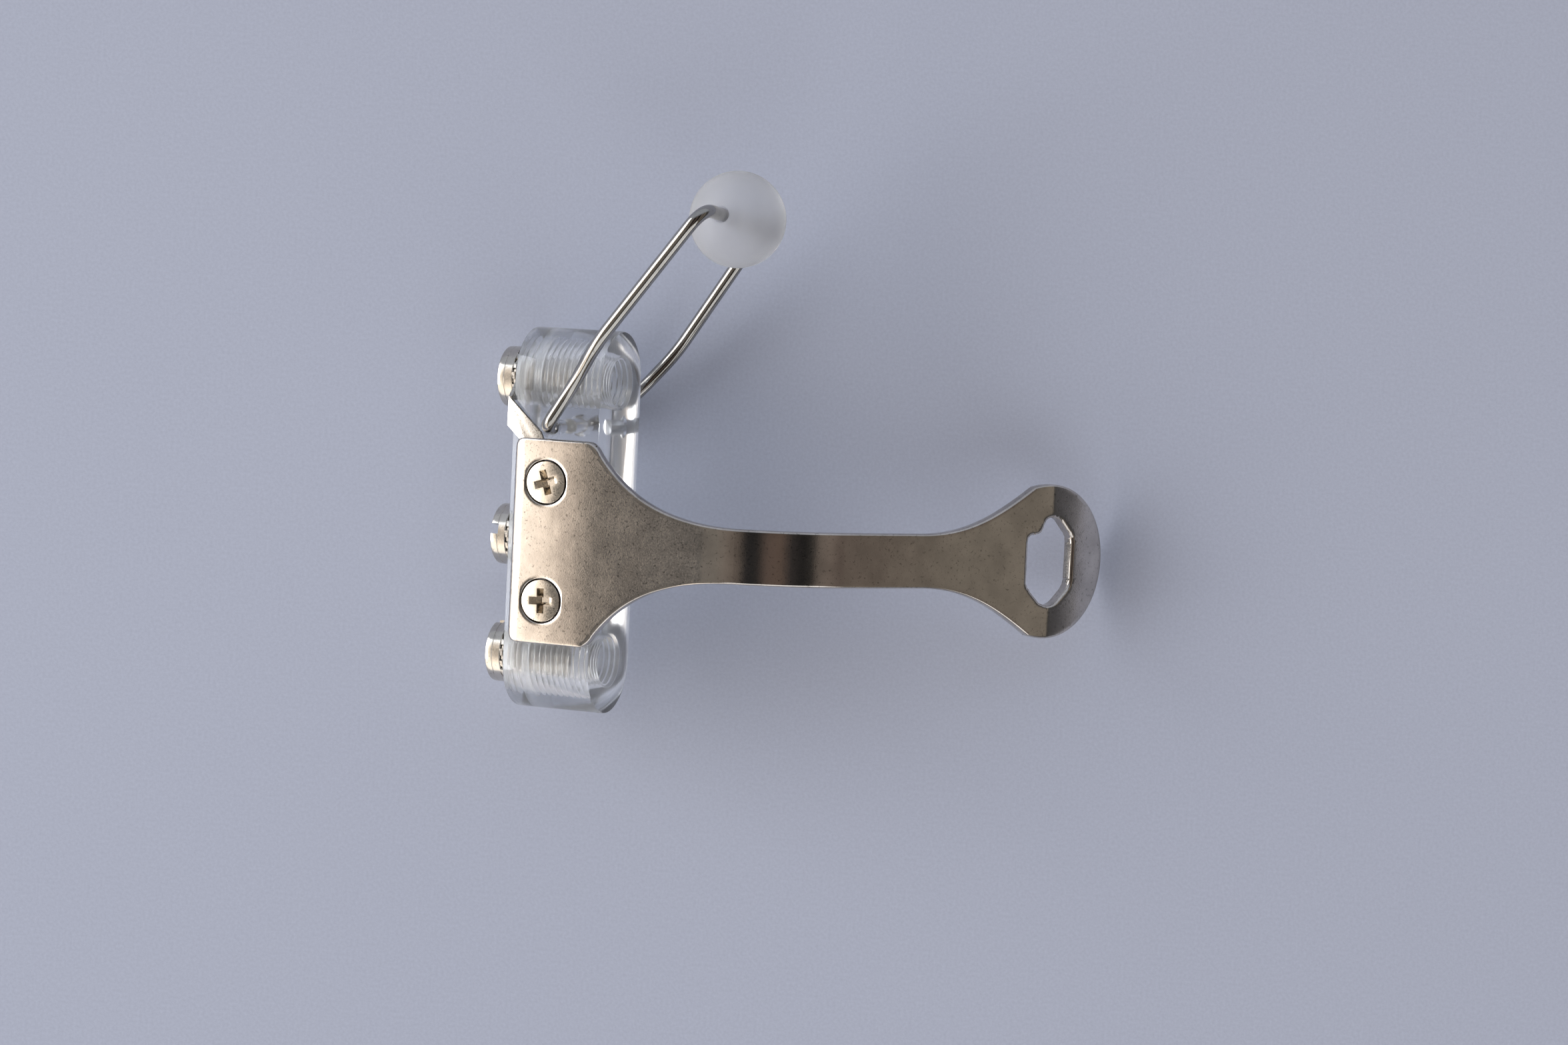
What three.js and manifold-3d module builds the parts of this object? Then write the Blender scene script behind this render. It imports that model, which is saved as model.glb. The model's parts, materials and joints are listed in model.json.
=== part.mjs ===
// Body-cord socket for the guard of a fencing weapon, in millimetres, +Z up.
// A clear acrylic block carries three slotted contact sleeves in one row. A bent sheet arm is screwed
// to the block and ends in a disc with a keyed hole that goes over the weapon's tang. A wire bail with
// a polymer roller swings over the plug and keeps it in.
//
// The pieces are drawn in the block's own frame: X runs along the contacts, away from their heads, Y runs
// along the row of contacts and Z points out of the face that carries the arm. The origin is where the
// middle contact's axis leaves the block's head face. One outer group then lays the whole part down.
import * as THREE from "three";
import { mergeVertices } from "three/addons/utils/BufferGeometryUtils.js";
import Module from "manifold-3d";

const wasm = await Module();
wasm.setup();

// ---- Driving dimensions -------------------------------------------------------------------------

const GAP = 0.05; // between pieces that touch
const SEAM = 0.1; // radial gap of a tube or washer that only sits round another piece
const RUNNING = 0.06; // radial clearance where a piece turns

const block = {
  length: 11.8, // along X
  half: 6.32, // half of its thickness
  low: -21.7, // lowest and highest Y
  high: 26.5,
  cover: 2.6, // thickness of the bonded plate under the contact heads
};

const contact = {
  rows: { upper: 20, middle: 0, lower: -15 }, // Y of each axis: 20 mm and 15 mm apart
  slotTurn: { upper: 84, middle: -13, lower: 97 }, // degrees from Z
  headRadius: 3.87,
  headEnd: -3.68,
  headBase: -1.56,
  shankRadius: 2.9,
  shankEnd: 8.4,
  holeRadius: 2.0,
  holeEnd: 7.2,
  slotWidth: 1.35,
  slotDepth: 1.1,
  boreRadius: 3.1,
};

const washer = { outer: 4.05, root: 3.75, thickness: 0.45, teeth: 18 };

const plate = { left: 1.0, right: 11.4, half: 12.8, corner: 1.3, thickness: 1.5 };

const arm = {
  half: 3.4, // half of its width
  neckEnd: 31, // X where the neck has narrowed to the arm's width
  flatEnd: 26.3, // X where the arm starts to bend away from the plate's plane
  archRadius: 22,
  archTurn: 49.3, // degrees
  run: 29.9, // length from the arch to the middle of the tang hole
  runTurn: 3,
  foldRadius: 6,
  foldTurn: 7.2,
  tip: 9.4, // length from the fold to the end of the disc
  tipTurn: 10,
};

const disc = { radius: 9.85, flareStart: -19, flareEnd: -2.6 };
// Corners of the keyed tang hole in the sheet's own plane, from the middle of the tang.
const tangHole = [
  [4.0, -3.1],
  [4.0, 3.1],
  [1.4, 5.6],
  [-0.5, 5.6],
  [-1.2, 3.4],
  [-3.2, 3.4],
  [-3.2, -3.1],
  [-0.7, -5.6],
  [1.2, -5.6],
];
const tangCorner = 0.6; // how far its corners are rounded

const screw = {
  x: 5.5,
  y: 7.4, // one above and one below the middle contact
  headRadius: 2.75,
  sinkRadius: 3.15,
  shankRadius: 1.4,
  coneDepth: 1.2,
  tipZ: -2.0,
  boreRadius: 1.55,
  recess: 1.0, // depth of the cross
  crossLength: 3.0,
  crossWidth: 0.85,
  turn: { upper: 18, lower: 2 }, // degrees
};

const strip = {
  thickness: 0.45,
  width: 2.7,
  tongue: [2.9, 13.0], // where the tongue leaves the shank, under the plate
  fold: 15.95, // Y of the tongue's middle where it folds over the block's edge
  eyeRadius: 4.0,
  screwHoleRadius: 2.1,
};

const wire = {
  radius: 0.83,
  pivot: [5.2, 14.2], // X and Y of the swing axis, which is square to the arm's face
  stubDepth: 4.3, // how far each end reaches into the block
  bend: 1.5, // radius of the bends at the pivot
  kinkBend: 2.5,
  cornerBend: 3.0,
};

// The wire's corners between the two stubs, from the arm's side of the block to its far side.
const wireCorners = [
  [9.0, 20.05, 8.0],
  [12.55, 25.0, 10.1],
  [26.05, 42.1, 10.6],
  [25.65, 40.4, -10.6],
  [14.4, 23.8, -11.0],
  [10.6, 18.9, -9.1],
];
const standOff = { front: 7.8, rear: -9.1 }; // Z of the legs next to the pivot

const roller = { radius: 6.05, z: -1.4 };

const lying = { right: 21.6, top: 2.42 }; // degrees by which the arm's end and the bail's side are raised

// ---- Materials ----------------------------------------------------------------------------------

const finishes = {
  acrylic: { color: 0xdfe3ea, roughness: 0.08, metalness: 0, transparent: true, opacity: 0.35 },
  nickel: { color: 0xc9bfb0, roughness: 0.28, metalness: 1 },
  contactNickel: { color: 0xcfc8bc, roughness: 0.2, metalness: 1 },
  screwSteel: { color: 0xd2c8ba, roughness: 0.25, metalness: 1 },
  wireSteel: { color: 0x9c9a98, roughness: 0.15, metalness: 1 },
  frosted: { color: 0xe6e5df, roughness: 0.5, metalness: 0 },
};

// ---- Solids -------------------------------------------------------------------------------------

const radians = THREE.MathUtils.degToRad;

// The closed solid of a three.js geometry.
function solid(geometry) {
  geometry.deleteAttribute("normal");
  geometry.deleteAttribute("uv");
  const merged = mergeVertices(geometry, 1e-4);
  return new wasm.Manifold(
    new wasm.Mesh({
      numProp: 3,
      vertProperties: merged.attributes.position.array,
      triVerts: new Uint32Array(merged.index.array),
    }),
  );
}

// The three.js geometry of a solid.
function geometryOf(made) {
  const { vertProperties, triVerts } = made.getMesh();
  const geometry = new THREE.BufferGeometry();
  geometry.setAttribute("position", new THREE.BufferAttribute(new Float32Array(vertProperties), 3));
  geometry.setIndex(new THREE.BufferAttribute(new Uint32Array(triVerts), 1));
  geometry.computeVertexNormals();
  return geometry;
}

function piece(name, made, finish) {
  const mesh = new THREE.Mesh(geometryOf(made), new THREE.MeshStandardMaterial(finishes[finish]));
  mesh.name = name;
  return mesh;
}

// A shape in the XY plane, extruded from z = low to z = high.
function prism(shape, low, high, curveSegments = 12) {
  const geometry = new THREE.ExtrudeGeometry(shape, {
    depth: high - low,
    bevelEnabled: false,
    curveSegments,
  });
  return geometry.translate(0, 0, low);
}

// The same, for a shape whose own X and Y stand for Y and Z, extruded along X.
function prismAlongX(shape, low, high, curveSegments) {
  const basis = new THREE.Matrix4().makeBasis(
    new THREE.Vector3(0, 1, 0),
    new THREE.Vector3(0, 0, 1),
    new THREE.Vector3(1, 0, 0),
  );
  return prism(shape, low, high, curveSegments).applyMatrix4(basis);
}

// The same, for a shape whose own X and Y stand for X and Z, extruded across Y on both sides.
function prismAcrossY(shape, half) {
  return prism(shape, -half, half).rotateX(Math.PI / 2);
}

function rodAlongX(radius, from, to, y, sides = 32) {
  const geometry = new THREE.CylinderGeometry(radius, radius, to - from, sides);
  return geometry.rotateZ(Math.PI / 2).translate((from + to) / 2, y, 0);
}

function rodAlongZ(radius, from, to, x, y, sides = 24) {
  const geometry = new THREE.CylinderGeometry(radius, radius, to - from, sides);
  return geometry.rotateX(Math.PI / 2).translate(x, y, (from + to) / 2);
}

// Radius of a hole with flat sides that clears a round piece of the given radius.
function clearing(radius, gap, sides) {
  return (radius + gap) / Math.cos(Math.PI / sides);
}

function join(solids) {
  return solids.reduce((whole, next) => whole.add(next));
}

function cut(whole, solids) {
  return solids.reduce((left, next) => left.subtract(next), whole);
}

// A straight bar with square ends between two points of the XY plane.
function bar(from, to, width) {
  const along = new THREE.Vector2(...to).sub(new THREE.Vector2(...from));
  const side = new THREE.Vector2(-along.y, along.x).setLength(width / 2);
  return new THREE.Shape([
    new THREE.Vector2(from[0] + side.x, from[1] + side.y),
    new THREE.Vector2(from[0] - side.x, from[1] - side.y),
    new THREE.Vector2(to[0] - side.x, to[1] - side.y),
    new THREE.Vector2(to[0] + side.x, to[1] + side.y),
  ]);
}

function circle(x, y, radius) {
  return new THREE.Shape().absarc(x, y, radius, 0, 2 * Math.PI);
}

// ---- Block --------------------------------------------------------------------------------------

function blockOutline() {
  const bottom = block.low + block.half;
  const top = block.high - block.half;
  const outline = new THREE.Shape();
  outline.moveTo(bottom, -block.half);
  outline.lineTo(top, -block.half);
  outline.absarc(top, 0, block.half, -Math.PI / 2, Math.PI / 2);
  outline.lineTo(bottom, block.half);
  outline.absarc(bottom, 0, block.half, Math.PI / 2, (3 * Math.PI) / 2);
  return outline;
}

function contactBores() {
  return Object.values(contact.rows).map((y) =>
    solid(rodAlongX(contact.boreRadius, -1, block.length + 1, y, 36)),
  );
}

function makeBlock() {
  const outline = blockOutline();
  const cover = solid(prismAlongX(outline, 0, block.cover, 16));
  const body = solid(prismAlongX(outline, block.cover + GAP, block.length, 16));
  const screwBores = [screw.y, -screw.y].map((y) =>
    solid(rodAlongZ(screw.boreRadius, screw.tipZ - 0.5, block.half + 1, screw.x, y)),
  );
  const sides = 24;
  const pivotRadius = clearing(wire.radius, RUNNING, sides);
  const pivotEnd = block.half - wire.stubDepth - 0.3;
  const pivotBores = [
    rodAlongZ(pivotRadius, pivotEnd, block.half + 1, ...wire.pivot, sides),
    rodAlongZ(pivotRadius, -block.half - 1, -pivotEnd, ...wire.pivot, sides),
  ].map(solid);
  return [
    piece("block_front_plate", cut(cover, contactBores()), "acrylic"),
    piece("block_body", cut(body, [...contactBores(), ...screwBores, ...pivotBores]), "acrylic"),
  ];
}

// ---- Contacts and their washers -----------------------------------------------------------------

// A headed sleeve, open at the head, with a screwdriver slot across the head.
function makeContact(row) {
  const c = contact;
  const chamfer = 0.25;
  const section = [
    [c.holeRadius, c.headEnd],
    [c.headRadius - chamfer, c.headEnd],
    [c.headRadius, c.headEnd + chamfer],
    [c.headRadius, c.headBase],
    [c.shankRadius, c.headBase],
    [c.shankRadius, c.shankEnd],
    [0, c.shankEnd],
    [0, c.holeEnd],
    [c.holeRadius, c.holeEnd],
    [c.holeRadius, c.headEnd],
  ].map(([radius, x]) => new THREE.Vector2(radius, x));
  const turned = solid(new THREE.LatheGeometry(section, 36).rotateZ(-Math.PI / 2));
  const slot = new THREE.BoxGeometry(2 * c.slotDepth, c.slotWidth, 3 * c.headRadius);
  slot.translate(c.headEnd, 0, 0).rotateX(radians(c.slotTurn[row]));
  const mesh = piece(`contact_${row}`, turned.subtract(solid(slot)), "contactNickel");
  mesh.position.y = c.rows[row];
  return mesh;
}

// A thin toothed lock washer under the contact's head.
function makeWasher(row) {
  const rim = [];
  const step = Math.PI / washer.teeth;
  for (let tooth = 0; tooth < washer.teeth; tooth += 1) {
    const start = 2 * tooth * step;
    for (const [radius, offset] of [
      [washer.outer, 0.15],
      [washer.outer, 0.85],
      [washer.root, 1.15],
      [washer.root, 1.85],
    ]) {
      const angle = start + offset * step;
      rim.push(new THREE.Vector2(radius * Math.cos(angle), radius * Math.sin(angle)));
    }
  }
  const outline = new THREE.Shape(rim);
  outline.holes.push(circle(0, 0, contact.shankRadius + SEAM + 0.05));
  const high = contact.headBase + GAP + washer.thickness;
  const ring = solid(prismAlongX(outline, high - washer.thickness, high, 18));
  const mesh = piece(`contact_washer_${row}`, ring, "contactNickel");
  mesh.position.y = contact.rows[row];
  return mesh;
}

// ---- Ground strip -------------------------------------------------------------------------------

// Footprint of the strip's flat part: an eye round the upper screw and a tongue to the block's edge.
function stripFootprint(width, low, high) {
  const eye = solid(prism(circle(screw.x, screw.y, width), low, high));
  const shank = solid(prism(bar([screw.x, screw.y], strip.tongue, width), low, high));
  const edge = -GAP - strip.thickness;
  const tongue = solid(prism(tongueShape(edge, width), low, high));
  return join([eye, shank, tongue]);
}

// The tongue runs at 42 degrees and is cut off parallel to the block's head face.
function tongueShape(edge, width) {
  const slope = Math.tan(radians(42));
  const half = width / 2 / Math.cos(radians(42));
  const [endX] = strip.tongue;
  const middle = (x) => strip.fold - slope * (x - edge);
  return new THREE.Shape([
    new THREE.Vector2(edge, middle(edge) + half),
    new THREE.Vector2(edge, middle(edge) - half),
    new THREE.Vector2(endX, middle(endX) - half),
    new THREE.Vector2(endX + 1.2, middle(endX + 1.2) + half),
  ]);
}

// A sheet strip from the upper bracket screw over the block's edge to an eye round the upper contact.
function makeGroundStrip() {
  const low = block.half + GAP;
  const flat = stripFootprint(strip.width, low, low + strip.thickness);
  const eyeY = contact.rows.upper;
  const eye = circle(eyeY, 0, strip.eyeRadius);
  const half = strip.width / 2 / Math.cos(radians(42));
  const drop = new THREE.Shape([
    new THREE.Vector2(strip.fold + half, low + strip.thickness),
    new THREE.Vector2(strip.fold - half, low + strip.thickness),
    new THREE.Vector2(strip.fold - half + 1.6, 1.5),
    new THREE.Vector2(eyeY + strip.eyeRadius - 0.8, 1.5),
  ]);
  const edge = -GAP - strip.thickness;
  const down = join([eye, drop].map((shape) => solid(prismAlongX(shape, edge, -GAP))));
  const holes = [
    solid(rodAlongX(contact.shankRadius + SEAM + 0.05, edge - 1, 1, eyeY, 36)),
    solid(rodAlongZ(strip.screwHoleRadius, low - 1, low + 1, screw.x, screw.y)),
  ];
  return piece("ground_strip", cut(flat.add(down), holes), "nickel");
}

// ---- Bracket arm --------------------------------------------------------------------------------

// The middle of the tang hole and the direction of the sheet there.
const tang = { point: new THREE.Vector2(), heading: 0 };

// The line of the sheet's upper face in the XZ plane, as points with the sheet's heading in degrees.
function armLine() {
  const line = [];
  const at = new THREE.Vector2(plate.left, block.half + GAP + plate.thickness);
  let heading = 0;
  const add = () => line.push({ x: at.x, z: at.y, heading });
  const go = (length, turn, steps) => {
    for (let i = 0; i < steps; i += 1) {
      heading -= turn / steps / 2;
      at.x += (length / steps) * Math.cos(radians(heading));
      at.y += (length / steps) * Math.sin(radians(heading));
      heading -= turn / steps / 2;
      add();
    }
  };
  add();
  go(arm.flatEnd - plate.left, 0, 1);
  go(arm.archRadius * radians(arm.archTurn), arm.archTurn, 18);
  go(arm.run, arm.runTurn, 4);
  tang.point.copy(at);
  tang.heading = heading - arm.foldTurn / 2;
  go(arm.foldRadius * radians(arm.foldTurn), arm.foldTurn, 2);
  go(arm.tip + 1, arm.tipTurn, 4);
  return line;
}

// The bent sheet at full width, before its outline is cut.
function sheet() {
  const line = armLine();
  const under = line.map(({ x, z, heading }) => {
    const angle = radians(heading - 90);
    return new THREE.Vector2(
      x + plate.thickness * Math.cos(angle),
      z + plate.thickness * Math.sin(angle),
    );
  });
  const upper = line.map(({ x, z }) => new THREE.Vector2(x, z));
  return solid(prismAcrossY(new THREE.Shape([...upper, ...under.reverse()]), plate.half + 1));
}

// Outline of the plate and its neck, as seen square to the plate.
function neckOutline(farEnd) {
  const { left, right, half, corner } = plate;
  const halfOutline = new THREE.Path();
  halfOutline.moveTo(left, 0);
  halfOutline.lineTo(left, half - corner);
  halfOutline.quadraticCurveTo(left, half, left + corner, half);
  halfOutline.lineTo(right - 0.6, half);
  halfOutline.quadraticCurveTo(right + 0.6, half, right + 1.4, half - 1.5);
  halfOutline.bezierCurveTo(16.2, 6.9, 21, 3.55, arm.neckEnd, arm.half);
  halfOutline.lineTo(farEnd, arm.half);
  return mirrored(halfOutline.getPoints(14));
}

// Outline of the disc and the flare that leads to it, in the sheet's own plane, from the hole's middle.
function paddleOutline() {
  const { radius, flareStart, flareEnd } = disc;
  const join = Math.acos(flareEnd / radius);
  const joinY = radius * Math.sin(join);
  const halfOutline = new THREE.Path();
  halfOutline.moveTo(flareStart - 3, 0);
  halfOutline.lineTo(flareStart - 3, arm.half);
  halfOutline.lineTo(flareStart, arm.half);
  halfOutline.bezierCurveTo(-12.5, arm.half, -8.2, 5.6, flareEnd, joinY);
  halfOutline.absarc(0, 0, radius, join, 0, true);
  return mirrored(halfOutline.getPoints(14));
}

// Closes a half outline that is drawn on the +Y side with its mirror image.
function mirrored(points) {
  const other = points.map(({ x, y }) => new THREE.Vector2(x, -y)).reverse();
  const all = [...points, ...other];
  const apart = all.filter((p, i) => p.distanceTo(all[(i + 1) % all.length]) > 1e-3);
  return new THREE.Shape(apart);
}

// The keyed hole as a plug that reaches through the sheet.
function tangHoleSolid() {
  const corners = tangHole.map(([x, y]) => new THREE.Vector2(x, y));
  const outline = new THREE.Shape();
  corners.forEach((corner, i) => {
    const towards = (other) => other.clone().sub(corner).setLength(tangCorner).add(corner);
    const enter = towards(corners.at(i - 1));
    const leave = towards(corners[(i + 1) % corners.length]);
    if (i === 0) outline.moveTo(enter.x, enter.y);
    else outline.lineTo(enter.x, enter.y);
    outline.quadraticCurveTo(corner.x, corner.y, leave.x, leave.y);
  });
  return solid(prism(outline, -6, 6, 5));
}

// Turns what is drawn in the XY plane round the origin into the sheet's plane at the tang hole.
function atTang(made) {
  const turn = new THREE.Matrix4().makeRotationY(-radians(tang.heading));
  const move = new THREE.Matrix4().makeTranslation(tang.point.x, 0, tang.point.y);
  return made.transform(move.multiply(turn).elements);
}

function countersink(y) {
  const top = block.half + GAP + plate.thickness;
  const section = [
    [0, top + 0.2],
    [screw.sinkRadius + 0.2, top + 0.2],
    [screw.boreRadius, top - (screw.sinkRadius - screw.boreRadius)],
    [screw.boreRadius, block.half - 0.5],
    [0, block.half - 0.5],
  ].map(([radius, z]) => new THREE.Vector2(radius, z));
  const geometry = new THREE.LatheGeometry(section.reverse(), 36);
  return solid(geometry.rotateX(Math.PI / 2).translate(screw.x, y, 0));
}

function makeArm() {
  const bent = sheet();
  const farEnd = tang.point.x + disc.flareStart * Math.cos(radians(tang.heading)) + 1;
  const neck = solid(prism(neckOutline(farEnd), -60, 30));
  const paddle = atTang(solid(prism(paddleOutline(), -6, 6)));
  const outlined = bent.intersect(neck.add(paddle));
  const relief = stripFootprint(strip.width + 0.2, 0, block.half + 2 * GAP + strip.thickness + 0.05);
  const cuts = [atTang(tangHoleSolid()), countersink(screw.y), countersink(-screw.y), relief];
  return piece("bracket_arm", cut(outlined, cuts), "nickel");
}

// ---- Bracket screws -----------------------------------------------------------------------------

// A countersunk screw with a cross recess, its top just under the plate's face.
function makeBracketScrew(row) {
  const s = screw;
  const top = block.half + plate.thickness - 0.1;
  const section = [
    [0, s.tipZ],
    [s.shankRadius - 0.4, s.tipZ],
    [s.shankRadius, s.tipZ + 0.5],
    [s.shankRadius, top - s.coneDepth - 0.15],
    [s.headRadius, top - 0.15],
    [s.headRadius - 0.1, top],
    [0, top],
  ].map(([radius, z]) => new THREE.Vector2(radius, z));
  const turned = solid(new THREE.LatheGeometry(section, 36).rotateX(Math.PI / 2));
  const wings = [0, 90].map((turn) => {
    const wing = new THREE.BoxGeometry(s.crossLength, s.crossWidth, 2 * s.recess);
    return solid(wing.translate(0, 0, top).rotateZ(radians(turn + s.turn[row])));
  });
  const mesh = piece(`bracket_screw_${row}`, cut(turned, wings), "screwSteel");
  mesh.position.set(s.x, row === "upper" ? s.y : -s.y, 0);
  return mesh;
}

// ---- Bail and roller ----------------------------------------------------------------------------

// A polyline with its inner corners rounded, as one path.
function roundedPath(points, reaches) {
  const path = new THREE.CurvePath();
  let from = points[0];
  for (let i = 1; i < points.length - 1; i += 1) {
    const back = points[i - 1].clone().sub(points[i]).setLength(reaches[i - 1]);
    const on = points[i + 1].clone().sub(points[i]).setLength(reaches[i - 1]);
    const enter = points[i].clone().add(back);
    const leave = points[i].clone().add(on);
    path.add(new THREE.LineCurve3(from, enter));
    path.add(new THREE.QuadraticBezierCurve3(enter, points[i], leave));
    from = leave;
  }
  path.add(new THREE.LineCurve3(from, points.at(-1)));
  return path;
}

function makeBail() {
  const stub = block.half - wire.stubDepth;
  const points = [
    [...wire.pivot, stub],
    [...wire.pivot, standOff.front],
    ...wireCorners,
    [...wire.pivot, standOff.rear],
    [...wire.pivot, -stub],
  ].map((p) => new THREE.Vector3(...p));
  const { bend, kinkBend, cornerBend } = wire;
  const reaches = [bend, kinkBend, kinkBend, cornerBend, cornerBend, kinkBend, kinkBend, bend];
  const geometry = new THREE.ExtrudeGeometry(circle(0, 0, wire.radius), {
    extrudePath: roundedPath(points, reaches),
    steps: 130,
    curveSegments: 6,
    bevelEnabled: false,
  });
  return piece("bail_wire", solid(geometry), "wireSteel");
}

function makeRoller() {
  const [front, rear] = [wireCorners[2], wireCorners[3]].map((p) => new THREE.Vector3(...p));
  const along = front.clone().sub(rear);
  const centre = rear.clone().addScaledVector(along, (roller.z - rear.z) / along.z);
  const sides = 24;
  const bore = clearing(wire.radius, RUNNING, sides);
  const sphere = solid(new THREE.SphereGeometry(roller.radius, 36, 22));
  const hole = solid(new THREE.CylinderGeometry(bore, bore, 3 * roller.radius, sides));
  const mesh = piece("bail_roller", sphere.subtract(hole), "frosted");
  mesh.quaternion.setFromUnitVectors(new THREE.Vector3(0, 1, 0), along.normalize());
  mesh.position.copy(centre);
  return mesh;
}

// ---- Assembly -----------------------------------------------------------------------------------

const assembly = new THREE.Group();
assembly.add(...makeBlock(), makeGroundStrip(), makeArm(), makeBail(), makeRoller());
for (const row of Object.keys(contact.rows)) assembly.add(makeContact(row), makeWasher(row));
for (const row of Object.keys(screw.turn)) assembly.add(makeBracketScrew(row));

// The part lies on the block's edge, the bail's far leg and the disc's end, over the origin.
assembly.rotation.set(radians(lying.top), -radians(lying.right), 0, "YXZ");
assembly.updateMatrixWorld(true);
const box = new THREE.Box3().setFromObject(assembly, true);
const centre = box.getCenter(new THREE.Vector3());
assembly.position.set(-centre.x, -centre.y, -box.min.z);

const part = new THREE.Group();
part.add(assembly);

export default part;
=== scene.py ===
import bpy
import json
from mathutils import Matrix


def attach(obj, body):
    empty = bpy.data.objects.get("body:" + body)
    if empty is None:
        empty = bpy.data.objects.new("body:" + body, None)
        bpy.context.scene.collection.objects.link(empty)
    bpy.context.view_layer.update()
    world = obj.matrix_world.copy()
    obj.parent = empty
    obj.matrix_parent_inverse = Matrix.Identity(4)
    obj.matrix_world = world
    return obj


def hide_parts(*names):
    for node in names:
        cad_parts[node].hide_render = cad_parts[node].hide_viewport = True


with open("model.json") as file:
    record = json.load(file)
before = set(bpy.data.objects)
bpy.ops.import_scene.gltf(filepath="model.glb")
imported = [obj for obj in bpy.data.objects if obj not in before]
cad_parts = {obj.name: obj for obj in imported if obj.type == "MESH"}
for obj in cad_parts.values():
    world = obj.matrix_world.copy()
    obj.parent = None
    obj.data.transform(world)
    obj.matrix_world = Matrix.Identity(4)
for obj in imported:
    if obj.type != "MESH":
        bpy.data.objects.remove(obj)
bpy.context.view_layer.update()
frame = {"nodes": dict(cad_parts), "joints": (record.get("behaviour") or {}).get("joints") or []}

import json
import math

import bmesh
import bpy
from mathutils import Matrix, Vector

MM = 0.001

# The pieces are drawn in millimetres in the block's own frame: X along the contacts, away from their heads,
# Y along the row of contacts, Z out of the face that carries the arm. LAY turns that frame into the part's
# own frame, where the object lies on the floor.
LYING_RIGHT, LYING_TOP = 21.6, 2.42
PIVOT = Vector((5.2, 14.2, 0.0))
ROWS = {"upper": 20, "middle": 0, "lower": -15}
hinge = next(joint for joint in frame["joints"] if joint["name"] == "bail_swing")
raised_right = Matrix.Rotation(math.radians(-LYING_RIGHT), 4, "Y")
raised_top = Matrix.Rotation(math.radians(LYING_TOP), 4, "X")
turned = raised_right @ raised_top
LAY = Matrix.Translation(Vector(hinge["pos_m"]) - turned @ (PIVOT * MM)) @ turned


# ---- Shader nodes -------------------------------------------------------------------------------

def new_material(name):
    material = bpy.data.materials.new(name)
    material.use_nodes = True
    return material, material.node_tree, material.node_tree.nodes["Principled BSDF"]


def add(tree, kind, **settings):
    """A node with its sockets set by name; a value that is a socket is linked."""
    node = tree.nodes.new(kind)
    for key, value in settings.items():
        if hasattr(node, key) and key not in node.inputs:
            setattr(node, key, value)
            continue
        socket = node.inputs[key.replace("_", " ")]
        if isinstance(value, bpy.types.NodeSocket):
            tree.links.new(value, socket)
        else:
            socket.default_value = value
    return node


def noise(tree, scale, detail=4.0, stretch=(1, 1, 1), rough=0.5):
    """Noise over the piece's own coordinates; scale is in cells per metre."""
    where = add(tree, "ShaderNodeTexCoord").outputs["Object"]
    mapped = add(tree, "ShaderNodeMapping", Vector=where, Scale=stretch).outputs["Vector"]
    node = add(tree, "ShaderNodeTexNoise", Vector=mapped, Scale=scale, Detail=detail, Roughness=rough)
    return node.outputs["Fac"]


def ramp(tree, fac, stops):
    """Colours by position along a factor."""
    node = add(tree, "ShaderNodeValToRGB", Fac=fac)
    points = node.color_ramp.elements
    while len(points) < len(stops):
        points.new(0.5)
    for point, (position, colour) in zip(points, stops):
        point.position = position
        point.color = (*colour, 1) if len(colour) == 3 else colour
    return node.outputs["Color"]


def remap(tree, value, low, high, to_low, to_high):
    node = add(tree, "ShaderNodeMapRange", Value=value)
    for index, number in ((1, low), (2, high), (3, to_low), (4, to_high)):
        node.inputs[index].default_value = number
    return node.outputs["Result"]


def bump(tree, height, distance, strength=1.0, normal=None):
    node = add(tree, "ShaderNodeBump", Height=height, Distance=distance, Strength=strength)
    if normal is not None:
        tree.links.new(normal, node.inputs["Normal"])
    return node.outputs["Normal"]


def metal(name, colour, roughness, wave=0.00003, grain=0.000003, streak=(1, 1, 1), pits=0.5):
    """Plated metal: slow waves that break up reflections, fine grain, dark pits and uneven gloss."""
    material, tree, shader = new_material(name)
    patch = noise(tree, 260, 5)
    fine = noise(tree, 5200, 3, streak, 0.6)
    speck = noise(tree, 2600, 4, (1, 1, 1), 0.7)
    dark = tuple(c * 0.78 for c in colour)
    tint = ramp(tree, patch, [(0.35, dark), (0.62, colour)])
    pit = ramp(tree, speck, [(0.33, (1 - pits,) * 3), (0.42, (1, 1, 1))])
    mixed = add(tree, "ShaderNodeMix", data_type="RGBA", blend_type="MULTIPLY")
    mixed.inputs[0].default_value = 1.0
    tree.links.new(tint, mixed.inputs[6])
    tree.links.new(pit, mixed.inputs[7])
    tree.links.new(mixed.outputs[2], shader.inputs["Base Color"])
    shader.inputs["Metallic"].default_value = 1.0
    gloss = remap(tree, fine, 0.3, 0.75, roughness * 0.75, roughness * 1.5)
    tree.links.new(gloss, shader.inputs["Roughness"])
    slow = bump(tree, noise(tree, 190, 3), wave)
    tree.links.new(bump(tree, fine, grain, 1.0, slow), shader.inputs["Normal"])
    return material


def lets_light_through(tree, shader, share=0.9):
    """Glass that rays from lamps pass, so that its shadow stays light."""
    path = add(tree, "ShaderNodeLightPath").outputs["Is Shadow Ray"]
    clear = add(tree, "ShaderNodeBsdfTransparent", Color=(share, share, share, 1))
    mix = add(tree, "ShaderNodeMixShader", Fac=path)
    tree.links.new(shader.outputs["BSDF"], mix.inputs[1])
    tree.links.new(clear.outputs["BSDF"], mix.inputs[2])
    tree.links.new(mix.outputs["Shader"], tree.nodes["Material Output"].inputs["Surface"])


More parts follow.
